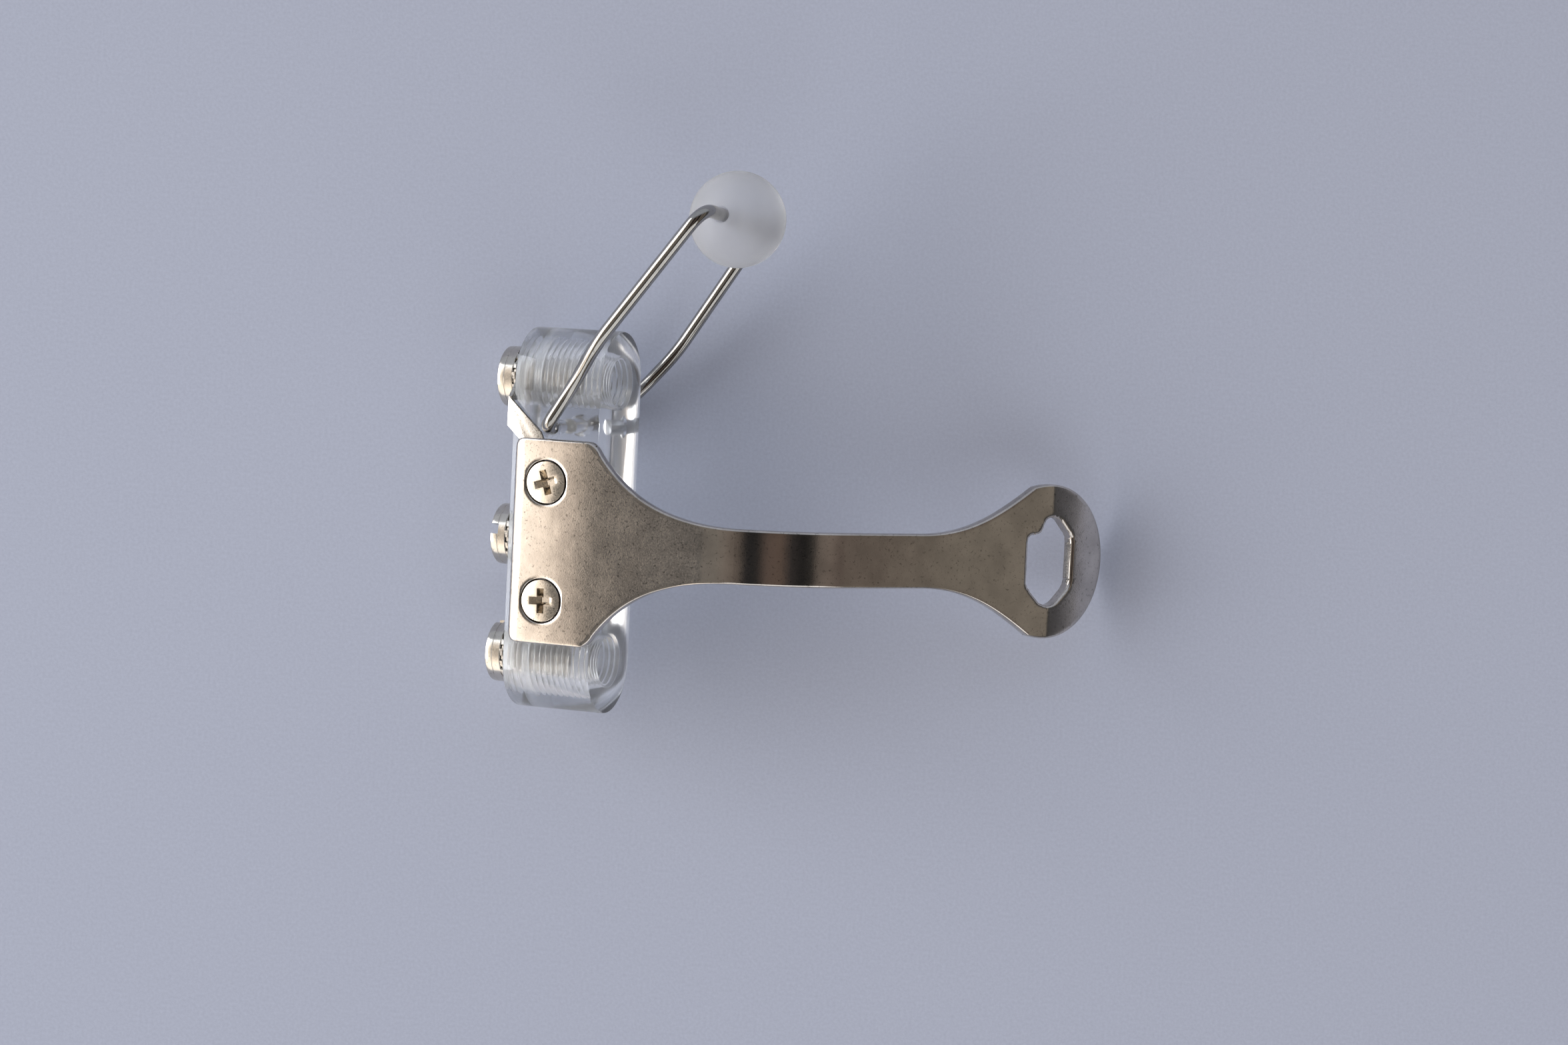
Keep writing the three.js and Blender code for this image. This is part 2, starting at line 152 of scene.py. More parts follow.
def tapped(tree):
    """1 on the drilled and tapped walls of the block, which the tools leave cloudy, and 0 elsewhere."""
    where = add(tree, "ShaderNodeTexCoord").outputs["Object"]
    upright = add(tree, "ShaderNodeMapping", vector_type="TEXTURE", Vector=where, Location=LAY.translation,
                  Rotation=LAY.to_euler(), Scale=(MM, MM, MM)).outputs["Vector"]
    total = None
    for point, radius in [((0, y, 0), 3.55) for y in ROWS.values()] + [((PIVOT.x, PIVOT.y, 0), 1.2)]:
        flat = add(tree, "ShaderNodeVectorMath", operation="MULTIPLY")
        tree.links.new(upright, flat.inputs[0])
        flat.inputs[1].default_value = (1, 1, 0) if point[0] else (0, 1, 1)
        away = add(tree, "ShaderNodeVectorMath", operation="DISTANCE")
        tree.links.new(flat.outputs["Vector"], away.inputs[0])
        away.inputs[1].default_value = point
        near = remap(tree, away.outputs["Value"], radius, radius + 0.1, 1.0, 0.0)
        if total is None:
            total = near
            continue
        most = add(tree, "ShaderNodeMath", operation="MAXIMUM")
        tree.links.new(total, most.inputs[0])
        tree.links.new(near, most.inputs[1])
        total = most.outputs["Value"]
    return total


def acrylic():
    """Clear and finely scratched, cloudy where it was drilled."""
    material, tree, shader = new_material("acrylic")
    haze = noise(tree, 700, 5)
    scratch = noise(tree, 900, 4, (1, 9, 1), 0.7)
    cloudy = tapped(tree)
    tint = ramp(tree, haze, [(0.3, (0.92, 0.93, 0.95)), (0.7, (0.97, 0.98, 0.99))])
    tree.links.new(tint, shader.inputs["Base Color"])
    tree.links.new(remap(tree, cloudy, 0, 1, 0.95, 0.80), shader.inputs["Transmission Weight"])
    shader.inputs["IOR"].default_value = 1.49
    polish = remap(tree, scratch, 0.45, 0.8, 0.015, 0.09)
    rough = add(tree, "ShaderNodeMath", operation="MULTIPLY_ADD")
    tree.links.new(cloudy, rough.inputs[0])
    rough.inputs[1].default_value = 0.13
    tree.links.new(polish, rough.inputs[2])
    tree.links.new(rough.outputs["Value"], shader.inputs["Roughness"])
    tree.links.new(bump(tree, scratch, 0.000004), shader.inputs["Normal"])
    lets_light_through(tree, shader)
    return material


def frosted():
    """Translucent matt polymer."""
    material, tree, shader = new_material("frosted_polymer")
    cloud = noise(tree, 260, 4)
    fine = noise(tree, 3600, 3)
    tint = ramp(tree, cloud, [(0.3, (0.86, 0.86, 0.86)), (0.7, (0.93, 0.93, 0.93))])
    tree.links.new(tint, shader.inputs["Base Color"])
    shader.inputs["Transmission Weight"].default_value = 0.8
    shader.inputs["IOR"].default_value = 1.3
    tree.links.new(remap(tree, fine, 0.3, 0.7, 0.42, 0.62), shader.inputs["Roughness"])
    tree.links.new(bump(tree, fine, 0.000006), shader.inputs["Normal"])
    return material


def paper():
    """Cool pale paper with a fine grain."""
    material, tree, shader = new_material("paper")
    grain = noise(tree, 2600, 6, (1, 1, 1), 0.65)
    cloud = noise(tree, 28, 3)
    tint = ramp(tree, grain, [(0.3, (0.49, 0.525, 0.65)), (0.7, (0.56, 0.60, 0.73))])
    tree.links.new(tint, shader.inputs["Base Color"])
    tree.links.new(remap(tree, cloud, 0.3, 0.7, 0.75, 0.95), shader.inputs["Roughness"])
    tree.links.new(bump(tree, grain, 0.00004, 0.5), shader.inputs["Normal"])
    return material


materials = {
    "acrylic": acrylic(),
    "bracket_nickel": metal("bracket_nickel", (0.60, 0.56, 0.52), 0.11, wave=0.00002, pits=0.45),
    "strip_nickel": metal("strip_nickel", (0.52, 0.49, 0.45), 0.26),
    "contact_nickel": metal("contact_nickel", (0.66, 0.62, 0.56), 0.14, 0.00001, streak=(5, 1, 1), pits=0.3),
    "washer_nickel": metal("washer_nickel", (0.62, 0.59, 0.55), 0.24),
    "screw_steel": metal("screw_steel", (0.74, 0.68, 0.60), 0.16, wave=0.00002),
    "wire_steel": metal("wire_steel", (0.43, 0.415, 0.39), 0.10, wave=0.00001, pits=0.25),
    "frosted_polymer": frosted(),
}


# ---- Meshes -------------------------------------------------------------------------------------

def raw(name, verts, faces):
    """An object holding a mesh in millimetres, its faces turned outwards."""
    mesh = bpy.data.meshes.new(name)
    mesh.from_pydata([tuple(v) for v in verts], [], faces)
    work = bmesh.new()
    work.from_mesh(mesh)
    bmesh.ops.recalc_face_normals(work, faces=work.faces)
    work.to_mesh(mesh)
    work.free()
    obj = bpy.data.objects.new(name, mesh)
    bpy.context.scene.collection.objects.link(obj)
    return obj


def evaluated(obj):
    bpy.context.view_layer.update()
    mesh = bpy.data.meshes.new_from_object(obj.evaluated_get(bpy.context.evaluated_depsgraph_get()))
    obj.modifiers.clear()
    obj.data = mesh
    return obj


def cut(obj, cutters):
    for cutter in cutters:
        modifier = obj.modifiers.new("cut", "BOOLEAN")
        modifier.operation = "DIFFERENCE"
        modifier.solver = "EXACT"
        modifier.object = cutter
    evaluated(obj)
    for cutter in cutters:
        bpy.data.objects.remove(cutter)
    return obj


def finished(obj, slot, body, nodes, sharp=38, weighted=False):
    """Scales a piece to metres, lays it in the row frame, gives it its material, parents it to the empty of
    its CAD body and hides the CAD nodes it stands for.
    """
    obj.data.transform(LAY @ Matrix.Scale(MM, 4))
    obj.data.shade_smooth()
    obj.data.set_sharp_from_angle(angle=math.radians(sharp))
    if weighted:
        obj.modifiers.new("even_normals", "WEIGHTED_NORMAL").keep_sharp = True
    obj.data.materials.clear()
    obj.data.materials.append(materials[slot])
    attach(obj, body)
    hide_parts(*nodes)
    return obj


def lathe(profile, sides, closed=False):
    """Verts and faces of an (x, radius) profile turned about X."""
    verts, rings = [], []
    for x, radius in profile:
        count = sides if radius > 1e-6 else 1
        rings.append(range(len(verts), len(verts) + count))
        for k in range(count):
            angle = 2 * math.pi * k / sides
            verts.append(Vector((x, radius * math.cos(angle), radius * math.sin(angle))))
    faces = []
    for a, b in list(zip(rings, rings[1:])) + ([(rings[-1], rings[0])] if closed else []):
        for k in range(sides):
            n = (k + 1) % sides
            corners = [a[k % len(a)], a[n % len(a)], b[n % len(b)], b[k % len(b)]]
            faces.append(list(dict.fromkeys(corners)))
    return verts, [face for face in faces if len(face) > 2]


def placed(verts, matrix):
    return [matrix @ v for v in verts]


def threads(start, end, pitch, low, high):
    """Profile points of thread ridges between two x values."""
    count = int((end - start) / pitch)
    points = []
    for i in range(count):
        x = start + i * pitch
        points += [(x + 0.12 * pitch, low), (x + 0.5 * pitch, high), (x + 0.62 * pitch, high)]
    return points


def loft(outline, steps):
    """A prism along X: outline is (y, z) points round the middle, steps are (x, inset) pairs."""
    count = len(outline)
    verts, faces = [], []
    for x, inset in steps:
        for i, (y, z) in enumerate(outline):
            before, after = outline[i - 1], outline[(i + 1) % count]
            along = Vector((after[0] - before[0], after[1] - before[1])).normalized()
            verts.append((x, y - along.y * inset, z + along.x * inset))
    for s in range(len(steps) - 1):
        for i in range(count):
            j = (i + 1) % count
            faces.append((s * count + i, s * count + j, (s + 1) * count + j, (s + 1) * count + i))
    faces.append(tuple(range(count)))
    faces.append(tuple(range((len(steps) - 1) * count, len(steps) * count)))
    return verts, faces


# ---- Acrylic block ------------------------------------------------------------------------------

# Half its thickness, its lowest and highest Y, its length along X and the bonded seam's X.
HALF, LOW, HIGH, LENGTH, SEAM = 6.32, -21.7, 26.5, 11.8, 2.62
SCREW_X, SCREW_Y = 5.5, 7.4  # the bracket screws stand at plus and minus this Y
TO_Z = Matrix.Rotation(math.radians(-90), 4, "Y")  # turns X into Z


def block_outline():
    """The block's (y, z) section: a bar with round ends."""
    points = []
    for centre, start in ((HIGH - HALF, -90), (LOW + HALF, 90)):
        for k in range(33):
            angle = math.radians(start + 180 * k / 32)
            points.append((centre + HALF * math.cos(angle), HALF * math.sin(angle)))
    return points


def bore_cutters():
    """Threaded bores for the contacts."""
    profile = [(-1, 0), (-1, 3.1)] + threads(-0.6, 12.4, 0.75, 2.98, 3.42) + [(13, 3.1), (13, 0)]
    cutters = []
    for y in ROWS.values():
        verts, faces = lathe(profile, 48)
        cutters.append(raw("bore", placed(verts, Matrix.Translation((0, y, 0))), faces))
    return cutters


def rod_cutter(x, y, profile, below=False):
    """A cutter along Z from the face that carries the arm, or from the face opposite."""
    verts, faces = lathe(profile, 32)
    turn = TO_Z if not below else Matrix.Rotation(math.radians(90), 4, "Y")
    return raw("rod", placed(verts, Matrix.Translation((x, y, 0)) @ turn), faces)


edge = 0.22  # rounding of the block's end edges
front_steps = [(0, edge), (0.3 * edge, 0.3 * edge), (edge, 0), (SEAM + 0.01, 0)]
front = raw("acrylic_front", *loft(block_outline(), front_steps))
cut(front, bore_cutters())
finished(front, "acrylic", "frame", ["block_front_plate"], 30)

body_steps = [(SEAM, 0), (LENGTH - edge, 0), (LENGTH - 0.3 * edge, 0.3 * edge), (LENGTH, edge)]
body = raw("acrylic_body", *loft(block_outline(), body_steps))
screw_profile = [(-2.4, 0), (-2.2, 1.2)] + threads(-2.0, 6.0, 0.6, 1.32, 1.52)
screw_profile += [(6.4, 1.5), (7.5, 1.5), (7.5, 0)]
pivot_profile = [(1.7, 0), (1.95, 0.95), (HALF - 0.42, 0.95), (HALF + 0.05, 1.45), (7.5, 1.45), (7.5, 0)]
cut(body, bore_cutters() + [
    rod_cutter(SCREW_X, SCREW_Y, screw_profile),
    rod_cutter(SCREW_X, -SCREW_Y, screw_profile),
    rod_cutter(PIVOT.x, PIVOT.y, pivot_profile),
    rod_cutter(PIVOT.x, PIVOT.y, pivot_profile, below=True),
])
finished(body, "acrylic", "frame", ["block_body"], 30)


# ---- Contacts and washers -----------------------------------------------------------------------

SLOT_TURN = {"upper": 84, "middle": -13, "lower": 97}


def contact(row):
    """A headed, slotted sleeve with a bore for the plug's pin and threads on its shank."""
    head = [
        (7.2, 0), (6.6, 2.0), (-3.46, 2.0), (-3.6, 2.06), (-3.64, 2.16), (-3.64, 3.68), (-3.62, 3.76),
        (-3.55, 3.83), (-3.46, 3.85), (-3.2, 3.87), (-2.75, 3.87), (-2.7, 3.82), (-2.62, 3.82), (-2.57, 3.87),
        (-1.68, 3.87), (-1.6, 3.82), (-1.56, 3.74),
        (-1.56, 2.95), (-1.2, 2.85),
    ]
    shank = threads(-1.0, 8.0, 0.5, 2.72, 2.89) + [(8.15, 2.8), (8.4, 2.5), (8.4, 0)]
    verts, faces = lathe(head + shank, 72)
    obj = raw(f"contact_sleeve_{row}", verts, faces)
    slot = bmesh.new()
    bmesh.ops.create_cube(slot, size=1, matrix=Matrix.Diagonal((2.2, 1.35, 12, 1)))
    bmesh.ops.bevel(slot, geom=slot.edges, offset=0.08, segments=2, affect="EDGES")
    mesh = bpy.data.meshes.new("slot")
    slot.to_mesh(mesh)
    slot.free()
    spin = Matrix.Rotation(math.radians(SLOT_TURN[row]), 4, "X")
    mesh.transform(spin @ Matrix.Translation((-3.68, 0, 0)))
    cutter = bpy.data.objects.new("slot", mesh)
    bpy.context.scene.collection.objects.link(cutter)
    cut(obj, [cutter])
    obj.data.transform(Matrix.Translation((0, ROWS[row], 0)))
    return finished(obj, "contact_nickel", "frame", [f"contact_{row}"], 28, weighted=True)


def lock_washer(row):
    """A thin ring whose outer rim is cut into twisted teeth."""
    teeth, sides = 18, 180
    middle, half = -1.285, 0.16
    profile = [(-half, 3.1), (-half, 3.6), (-half, 4.03), (half, 4.03), (half, 3.6), (half, 3.1)]
    verts, faces = lathe(profile, sides, closed=True)
    for v in verts:
        radius, angle = math.hypot(v.y, v.z), math.atan2(v.z, v.y)
        phase = (angle / (2 * math.pi) * teeth) % 1
        if radius > 3.9:
            pull = 0.9 if phase > 0.62 else 1.0
            v.y, v.z = v.y * pull, v.z * pull
            if phase <= 0.62:
                v.x += 0.055 * (phase / 0.31 - 1)
        v.x += middle
    obj = raw(f"lock_washer_{row}", placed(verts, Matrix.Translation((0, ROWS[row], 0))), faces)
    return finished(obj, "washer_nickel", "frame", [f"contact_washer_{row}"], 35)


for row in ROWS:
    contact(row)
    lock_washer(row)


# ---- Bracket arm --------------------------------------------------------------------------------

GAP = 0.05  # between the block and the plate
THICK, LEFT = 1.5, 1.0  # the sheet's thickness and the X of the plate's edge
TOP = HALF + GAP + THICK
# (length, degrees) of the plate, the arch, the run, the fold and the disc's end, along the upper face.
BENDS = [
    (26.3 - LEFT, 0),
    (22 * math.radians(49.3), 49.3),
    (29.9, 3),
    (6 * math.radians(7.2), 7.2),
    (10.4, 10),
]
FLAT, ARCH, RUN, FOLD = (length for length, _ in BENDS[:4])
TANG = LEFT + FLAT + ARCH + RUN  # distance along the sheet to the middle of the tang hole


def sheet_line(step=0.05):
    """(x, z, heading) of the sheet's upper face at every step along it."""
    x, z, heading, line = LEFT, TOP, 0.0, [(LEFT, TOP, 0.0)]
    for length, turn in BENDS:
        count = max(1, round(length / step))
        for _ in range(count):
            heading -= math.radians(turn) / count / 2
            x += length / count * math.cos(heading)
            z += length / count * math.sin(heading)
            heading -= math.radians(turn) / count / 2
            line.append((x, z, heading))
    reached = [LEFT]
    for a, b in zip(line, line[1:]):
        reached.append(reached[-1] + math.hypot(b[0] - a[0], b[1] - a[1]))
    return reached, line


REACHED, LINE = sheet_line()


def bent(s, y, depth):
    """The point at distance s along the sheet, y across it, and depth under its upper face.

    The plate is slightly crowned towards its edge over the contact heads, and that edge is rolled over.
    """
    low, high = 0, len(REACHED) - 1
    while high - low > 1:
        middle = (low + high) // 2
        low, high = (middle, high) if REACHED[middle] <= s else (low, middle)
    share = (s - REACHED[low]) / max(REACHED[high] - REACHED[low], 1e-9)
    x, z, heading = (a + (b - a) * share for a, b in zip(LINE[low], LINE[high]))
    crown = 0.0027 * max(0.0, 12.5 - s) ** 2 + 0.25 * max(0.0, (2.4 - s) / 1.4) ** 2
    depth += crown * (1 - depth / THICK)
    return Vector((x + depth * math.sin(heading), y, z - depth * math.cos(heading)))


def curve(points, *controls, steps=16):
    """Adds a Bezier from the last of a list of 2-D points, past its control points to the last of them."""
    start = Vector(points[-1])
    controls = [Vector(c) for c in controls]
    for k in range(1, steps + 1):
        t = k / steps
        line = [start, *controls]
        while len(line) > 1:
            line = [a.lerp(b, t) for a, b in zip(line, line[1:])]
        points.append(tuple(line[0]))
    return points


def arm_outline():
    """The plate, the neck, the arm, the flare and the disc, in distances along the sheet."""
    half, right, corner = 12.8, 11.4, 1.3  # the plate's half height, its far end and its corners
    narrow, radius = 3.4, 9.8  # the arm's half width and the disc's radius
    points = [(LEFT, 0), (LEFT, half - corner)]
    curve(points, (LEFT, half), (LEFT + corner, half), steps=8)
    points.append((right - 0.6, half))
    curve(points, (right + 0.6, half), (right + 1.4, half - 1.5), steps=8)
    curve(points, (16.2, 6.9), (21, 3.55), (31, narrow), steps=28)
    points += [(38, narrow), (45, narrow), (TANG - 19, narrow)]
    joined = math.acos(-2.6 / radius)
    curve(points, (TANG - 12.5, narrow), (TANG - 8.2, 5.6),
          (TANG + radius * math.cos(joined), radius * math.sin(joined)), steps=24)
    for k in range(1, 33):
        angle = joined * (1 - k / 32)
        points.append((TANG + radius * math.cos(angle), radius * math.sin(angle)))
    mirrored = [(x, -y) for x, y in reversed(points[1:-1])]
    return list(reversed(points + mirrored))


def keyed_hole():
    """The tang hole round TANG, its corners rounded and its edge a little worn."""
    corners = [(4.0, -3.1), (4.0, 3.1), (1.4, 5.6), (-0.5, 5.6), (-1.2, 3.4), (-3.2, 3.4), (-3.2, -3.1)]
    corners += [(-0.7, -5.6), (1.2, -5.6)]
    rounding = 0.95
    points = []
    for i, corner in enumerate(corners):
        corner = Vector(corner)
        enter = corner + (Vector(corners[i - 1]) - corner).normalized() * rounding
        leave = corner + (Vector(corners[(i + 1) % len(corners)]) - corner).normalized() * rounding
        points.append(tuple(enter))
        curve(points, tuple(corner), tuple(leave), steps=6)
    worn = []
    for i, (x, y) in enumerate(points):
        wear = 0.07 * math.sin(2.7 * i) + 0.04 * math.sin(5.1 * i + 1)
        worn.append((TANG + x + wear * 0.6, y + wear * 0.4))
    return list(reversed(worn))


def ring_hole(x, y, radius, count=48):
    """A round hole's points, in the direction that sheet() needs for a hole."""
    turns = [-2 * math.pi * k / count for k in range(count)]
    return [(x + radius * math.cos(a), y + radius * math.sin(a)) for a in turns]


def rounded_rim(radius, lower=None):
    """(inset, depth) pairs down a rounded edge, with a flat margin at both faces that keeps them even."""
    lower, margin = lower or radius, 0.35
    turns = [math.radians(a) for a in (0, 22, 45, 67, 90)]
    down = [(radius * (1 - math.sin(a)), radius * (1 - math.cos(a))) for a in turns]
    up = [(lower * (1 - math.sin(a)), THICK - lower * (1 - math.cos(a))) for a in reversed(turns)]
    return [(radius + margin, 0)] + down + up + [(lower + margin, THICK)]


def sheet(loops, lines):
    """A closed flat sheet from loops of (points, rim), crossed by edges at the given distances."""
    work = bmesh.new()
    caps = ([], [])
    for points, rim in loops:
        count, rings = len(points), []
        for inset, depth in rim:
            ring = []
            for i, (x, y) in enumerate(points):
                before, after = points[i - 1], points[(i + 1) % count]
                along = Vector((after[0] - before[0], after[1] - before[1])).normalized()
                ring.append(work.verts.new((x - along.y * inset, y + along.x * inset, depth)))
            rings.append(ring)
        for a, b in zip(rings, rings[1:]):
            for i in range(count):
                j = (i + 1) % count
                work.faces.new((a[i], a[j], b[j], b[i]))
        for cap, ring in zip(caps, (rings[0], rings[-1])):
            cap += [work.edges.get((ring[i], ring[(i + 1) % count])) for i in range(count)]
    for cap in caps:
        bmesh.ops.triangle_fill(work, edges=cap, use_beauty=True)
    for at in lines:
        whole = work.verts[:] + work.edges[:] + work.faces[:]
        bmesh.ops.bisect_plane(work, geom=whole, plane_co=(at, 0, 0), plane_no=(1, 0, 0), dist=1e-5)
    for v in work.verts:
        v.co = bent(*v.co)
    bmesh.ops.recalc_face_normals(work, faces=work.faces)
    mesh = bpy.data.meshes.new("sheet")
    work.to_mesh(mesh)
    work.free()
    return mesh


def bracket():
    """The bent sheet, with edges across it wherever it is curved."""
    sunk = [(1.65, 0), (1.3, 0), (1.2, 0.04), (1.16, 0.14), (1.13, 0.45), (0.0, 1.42), (0.0, THICK)]
    loops = [
        (arm_outline(), rounded_rim(0.32, 0.4)),
        (keyed_hole(), rounded_rim(0.42, 0.12)),
        (ring_hole(SCREW_X, SCREW_Y, 1.65), sunk),
        (ring_hole(SCREW_X, -SCREW_Y, 1.65), sunk),
    ]
    arch = LEFT + FLAT
    lines = [1.25, 1.5, 1.75, 2.0, 2.25] + [2.5 + k for k in range(23)]
    lines += [arch + ARCH * k / 48 for k in range(49)]
    lines += [TANG - RUN * k / 24 for k in range(25)]
    lines += [TANG + FOLD * k / 6 for k in range(1, 7)]
    lines += [TANG + FOLD + k * 0.6 for k in range(1, 15)]
    obj = bpy.data.objects.new("bracket_sheet", sheet(loops, lines))
    bpy.context.scene.collection.objects.link(obj)
    return finished(obj, "bracket_nickel", "frame", ["bracket_arm"], 50, weighted=True)


bracket()


# ---- Ground strip -------------------------------------------------------------------------------

def ground_strip():
    """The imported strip's own shape with its edges and its fold rounded."""
    mesh = frame["nodes"]["ground_strip"].data.copy()
    mesh.transform(LAY.inverted())
    mesh.transform(Matrix.Scale(1 / MM, 4))
    work = bmesh.new()
    work.from_mesh(mesh)
    bmesh.ops.remove_doubles(work, verts=work.verts, dist=0.002)
    bmesh.ops.dissolve_limit(work, angle_limit=math.radians(2), verts=work.verts, edges=work.edges)
    work.to_mesh(mesh)
    work.free()
    obj = bpy.data.objects.new("folded_strip", mesh)
    bpy.context.scene.collection.objects.link(obj)
    bevel = obj.modifiers.new("round", "BEVEL")
    bevel.width, bevel.segments, bevel.limit_method, bevel.angle_limit = 0.13, 3, "ANGLE", math.radians(40)
    evaluated(obj)
    return finished(obj, "strip_nickel", "frame", ["ground_strip"], 35)


ground_strip()


# ---- Bracket screws -----------------------------------------------------------------------------

def bracket_screw(row, turn, tilt):
    """A countersunk screw, turned in degrees about its axis and tilted towards the plate's edge."""
    top = TOP - 0.15
    profile = [(-2.0, 0), (-1.9, 0.9)] + threads(-1.7, 5.6, 0.6, 1.12, 1.38)
    profile += [(5.9, 1.35), (6.35, 1.4), (7.3, 2.58), (7.36, 2.62)]
    profile += [(top - 0.07, 2.62), (top - 0.02, 2.58), (top, 2.48), (top + 0.01, 0)]
    verts, faces = lathe(profile, 64)
    obj = raw(f"cross_screw_{row}", placed(verts, TO_Z), faces)
    cutters = []
    for angle in (0, 90):
        corners = [(-1.7, -0.5, 0.2), (1.7, -0.5, 0.2), (1.7, 0.5, 0.2), (-1.7, 0.5, 0.2),
                   (-0.5, -0.3, -1.6), (0.5, -0.3, -1.6), (0.5, 0.3, -1.6), (-0.5, 0.3, -1.6)]
        sides = [(0, 1, 2, 3), (7, 6, 5, 4), (0, 4, 5, 1), (1, 5, 6, 2), (2, 6, 7, 3), (3, 7, 4, 0)]
        spin = Matrix.Translation((0, 0, top)) @ Matrix.Rotation(math.radians(angle + turn), 4, "Z")
        cutters.append(raw("cross", [spin @ Vector(c) for c in corners], sides))
    cut(obj, cutters)
    head = Matrix.Translation((0, 0, top))
    lean = head @ Matrix.Rotation(math.radians(tilt), 4, "Y") @ head.inverted()
    obj.data.transform(Matrix.Translation((SCREW_X, SCREW_Y if row == "upper" else -SCREW_Y, 0)) @ lean)
    return finished(obj, "screw_steel", "frame", [f"bracket_screw_{row}"], 30)


bracket_screw("upper", 18, -1.7)
bracket_screw("lower", 2, -1.5)


# ---- Bail and roller ----------------------------------------------------------------------------

WIRE = 0.82  # radius
# The wire's corners between its stubs, from the arm's side of the block to its far side.
CORNERS = [
    (9.0, 20.05, 8.0),
    (12.55, 25.0, 10.1),
    (26.05, 42.1, 10.56),
    (25.65, 40.4, -10.6),
    (14.4, 23.8, -11.0),
    (10.6, 18.9, -9.1),
]
REACHES = [1.5, 2.5, 2.5, 3.0, 3.0, 2.5, 2.5, 1.5]  # how far each bend reaches along its legs
STUB_DEPTH = 4.3
FRONT_LEG, REAR_LEG = 7.8, -9.1  # Z of the legs next to the pivot


def bail_path():
    """Points along the wire from one stub to the other, rounded at its bends."""
    stub = HALF - STUB_DEPTH
    on_axis = [Vector((PIVOT.x, PIVOT.y, z)) for z in (stub, FRONT_LEG, REAR_LEG, -stub)]
    points = on_axis[:2] + [Vector(corner) for corner in CORNERS] + on_axis[2:]
    path = [points[0]]
    for i, reach in enumerate(REACHES, start=1):
        enter = points[i] + (points[i - 1] - points[i]).normalized() * reach
        leave = points[i] + (points[i + 1] - points[i]).normalized() * reach
        steps = max(2, int((enter - path[-1]).length / 0.8))
        start = path[-1]
        path += [start.lerp(enter, k / steps) for k in range(1, steps + 1)]
        for k in range(1, 15):
            t = k / 14
            path.append(enter.lerp(points[i], t).lerp(points[i].lerp(leave, t), t))
    path += [path[-1].lerp(points[-1], k / 5) for k in range(1, 6)]
    return path


def bail():
    """The round wire, its two ends slightly chamfered."""
    path, sides = bail_path(), 28
    verts, faces = [], []
    side = Vector((1, 0, 0))
    path = [path[0], path[0].lerp(path[1], 0.2), *path[1:-1], path[-1].lerp(path[-2], 0.2), path[-1]]
    sizes = [WIRE * 0.82] + [WIRE] * (len(path) - 2) + [WIRE * 0.82]
    for i, centre in enumerate(path):
        along = (path[min(i + 1, len(path) - 1)] - path[max(i - 1, 0)]).normalized()
        side = (side - along * side.dot(along)).normalized()
        other = along.cross(side)
        for k in range(sides):
            angle = 2 * math.pi * k / sides
            verts.append(centre + (side * math.cos(angle) + other * math.sin(angle)) * sizes[i])
    for i in range(len(path) - 1):
        for k in range(sides):
            n = (k + 1) % sides
            faces.append((i * sides + k, i * sides + n, (i + 1) * sides + n, (i + 1) * sides + k))
    faces += [tuple(range(sides)), tuple(range(len(verts) - sides, len(verts)))]
    return finished(raw("bent_wire", verts, faces), "wire_steel", "bail", ["bail_wire"], 40)


def ball():
    """The roller on the crossbar: a ball with a countersunk bore."""
    radius, bore = 6.03, 0.91
    profile = [(-5.6, bore), (-5.82, bore + 0.12)]
    for k in range(41):
        angle = math.radians(180 - 12 - (180 - 24) * k / 40)
        profile.append((radius * math.cos(angle), radius * math.sin(angle)))
    profile += [(5.82, bore + 0.12), (5.6, bore)]
    verts, faces = lathe(profile, 72, closed=True)
    front_end, rear_end = Vector(CORNERS[2]), Vector(CORNERS[3])
    along = front_end - rear_end
    centre = rear_end + along * ((-1.4 - rear_end.z) / along.z)
    turn = Vector((1, 0, 0)).rotation_difference(along).to_matrix().to_4x4()
    obj = raw("frosted_ball", placed(verts, Matrix.Translation(centre) @ turn), faces)
    return finished(obj, "frosted_polymer", "roller", ["bail_roller"], 40)


bail()
ball()


# ---- Floor, light and camera --------------------------------------------------------------------

def floor():
    """The sheet of paper that the object lies on, just under it."""
    mesh = bpy.data.meshes.new("paper_sheet")
    mesh.from_pydata([(-1.5, -1.5, 0), (1.5, -1.5, 0), (1.5, 1.5, 0), (-1.5, 1.5, 0)], [], [(0, 1, 2, 3)])
    obj = bpy.data.objects.new("paper_sheet", mesh)
    obj.location.z = -0.00005
    bpy.context.scene.collection.objects.link(obj)
    mesh.materials.append(paper())


def lamp(name, place, aim, size, energy, colour):
    """A rectangular soft light, with its place in metres and its energy in watts."""
    data = bpy.data.lights.new(name, "AREA")
    data.shape, data.size, data.size_y = "RECTANGLE", size[0], size[1]
    data.energy, data.color = energy, colour
    obj = bpy.data.objects.new(name, data)
    obj.location = place
    obj.rotation_euler = (Vector(aim) - Vector(place)).to_track_quat("-Z", "Y").to_euler()
    bpy.context.scene.collection.objects.link(obj)


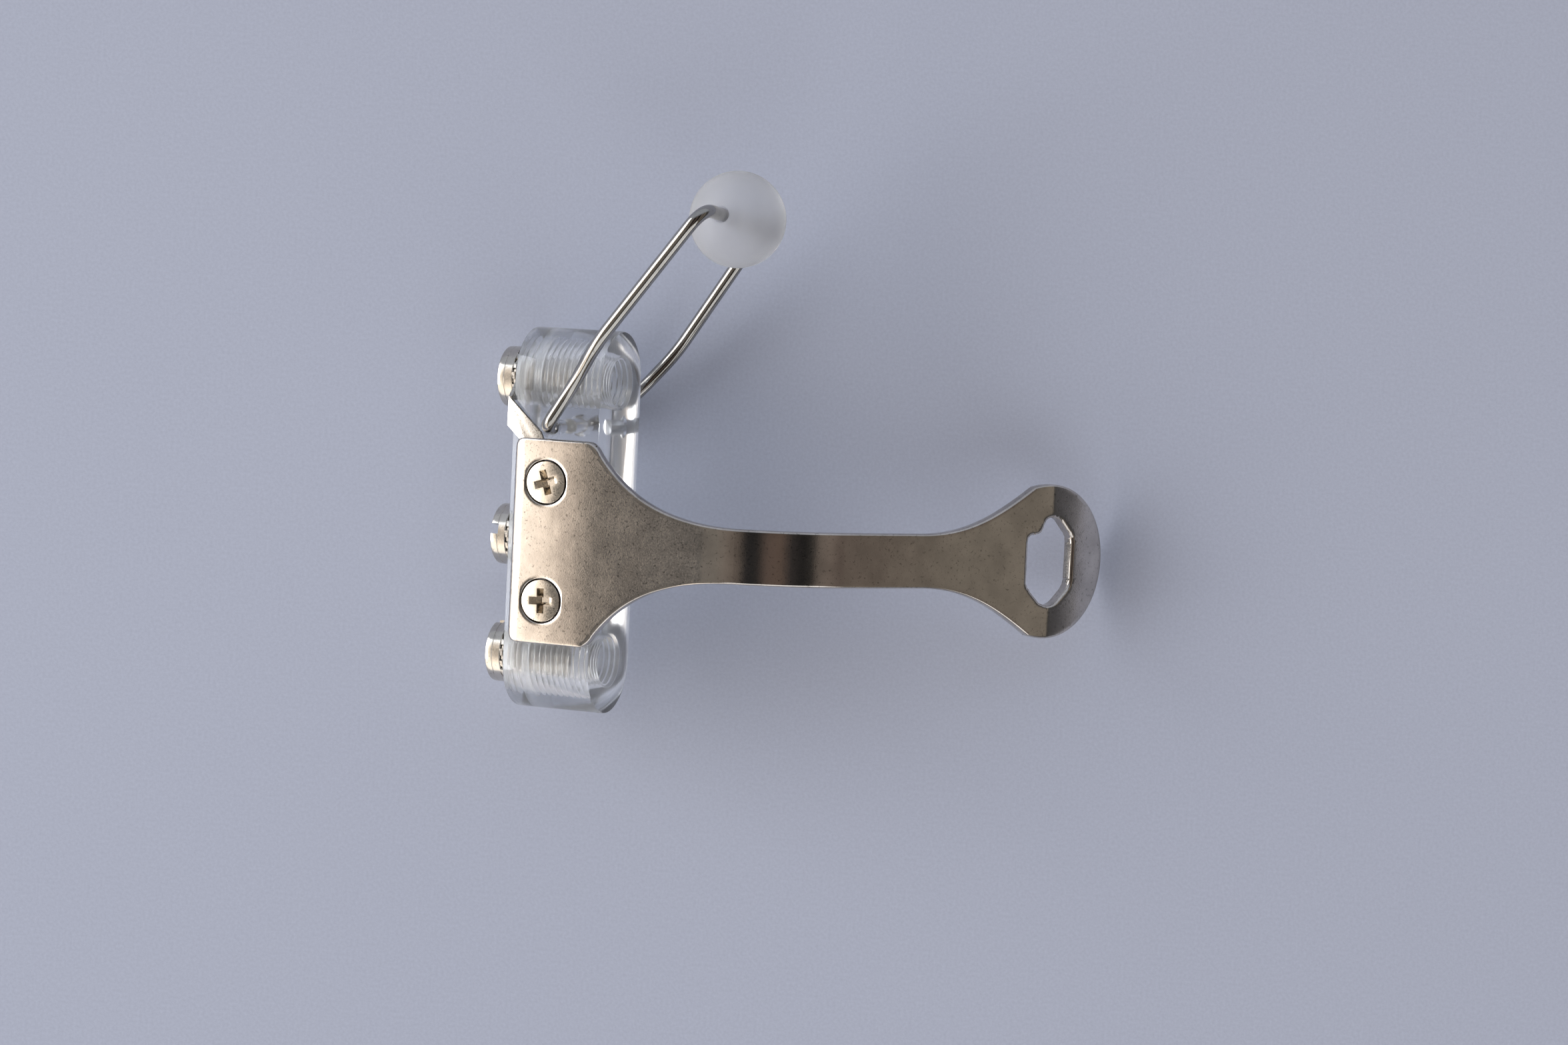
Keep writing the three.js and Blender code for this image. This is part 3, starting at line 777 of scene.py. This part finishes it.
# What the sheet mirrors at each angle from overhead, in degrees towards the arm's end, from the window
# side over the ceiling to the far wall.
ROOM = [
    (-90, (1.5, 1.45, 1.4)), (-54, (2.2, 1.95, 1.7)), (-50.5, (1.6, 1.38, 1.16)),
    (-48.5, (0.85, 0.72, 0.61)), (-46.4, (0.20, 0.19, 0.17)), (-44.8, (0.11, 0.11, 0.115)),
    (-42.5, (0.15, 0.145, 0.135)), (-39, (0.24, 0.22, 0.20)), (-31, (0.25, 0.23, 0.205)),
    (-24, (0.28, 0.24, 0.21)), (-17, (0.18, 0.15, 0.13)), (-11, (0.028, 0.028, 0.03)),
    (-3, (0.03, 0.03, 0.03)), (4, (0.14, 0.105, 0.09)), (12, (0.15, 0.11, 0.09)),
    (18, (0.05, 0.045, 0.045)), (27, (0.02, 0.02, 0.02)), (33, (0.04, 0.038, 0.036)),
    (38, (0.20, 0.17, 0.15)), (46, (0.24, 0.20, 0.175)), (53, (0.155, 0.125, 0.11)),
    (59, (0.18, 0.15, 0.13)), (62, (0.26, 0.235, 0.20)), (69, (0.28, 0.25, 0.215)),
    (73, (0.07, 0.07, 0.07)), (84, (0.10, 0.10, 0.11)), (90, (0.30, 0.30, 0.33)),
]


def surroundings():
    """A dim warm room overhead, banded as the bent sheet mirrors it, and bright on the window's side."""
    world = bpy.data.worlds.new("room")
    world.use_nodes = True
    tree = world.node_tree
    where = add(tree, "ShaderNodeTexCoord").outputs["Generated"]
    split = add(tree, "ShaderNodeSeparateXYZ", Vector=where)
    angle = add(tree, "ShaderNodeMath", operation="ARCTAN2")
    tree.links.new(split.outputs["X"], angle.inputs[0])
    tree.links.new(split.outputs["Z"], angle.inputs[1])
    wobble = add(tree, "ShaderNodeTexNoise", Vector=where, Scale=5.0, Detail=2.0).outputs["Fac"]
    sway = add(tree, "ShaderNodeMath", operation="MULTIPLY_ADD")
    tree.links.new(wobble, sway.inputs[0])
    sway.inputs[1].default_value = math.radians(3)
    tree.links.new(angle.outputs["Value"], sway.inputs[2])
    quarter = math.pi / 2
    across = remap(tree, sway.outputs["Value"], -quarter + 0.026, quarter + 0.026, 0.0, 1.0)
    bands = ramp(tree, across, [((degrees + 90) / 180, colour) for degrees, colour in ROOM])
    side = remap(tree, split.outputs["Y"], 0.30, 0.62, 0.0, 1.0)
    total = add(tree, "ShaderNodeMix", data_type="RGBA")
    tree.links.new(side, total.inputs[0])
    tree.links.new(bands, total.inputs[6])
    total.inputs[7].default_value = (0.52, 0.56, 0.64, 1)
    tree.links.new(total.outputs[2], tree.nodes["Background"].inputs["Color"])
    tree.nodes["Background"].inputs["Strength"].default_value = 1.0
    bpy.context.scene.world = world


floor()
surroundings()
lamp("window", (-1.16, 0.12, 0.47), (0, 0, 0), (1.5, 0.5), 10.5, (0.92, 0.96, 1.0))
lamp("far_wall", (0.3, -1.1, 0.8), (0, 0, 0), (1.6, 1.0), 6, (0.96, 0.98, 1.0))

# The camera looks almost straight down from 0.47 m.
lens = bpy.data.cameras.new("camera")
lens.sensor_width, lens.lens, lens.clip_start = 36, 84.2, 0.01
camera = bpy.data.objects.new("camera", lens)
camera.location = Vector((-7.99, 6.254, 471.84)) * MM
camera.rotation_euler = [math.radians(a) for a in (-1.928, -0.616, 3.7475)]
bpy.context.scene.collection.objects.link(camera)
bpy.context.scene.camera = camera
bpy.context.scene.view_settings.view_transform = "Standard"
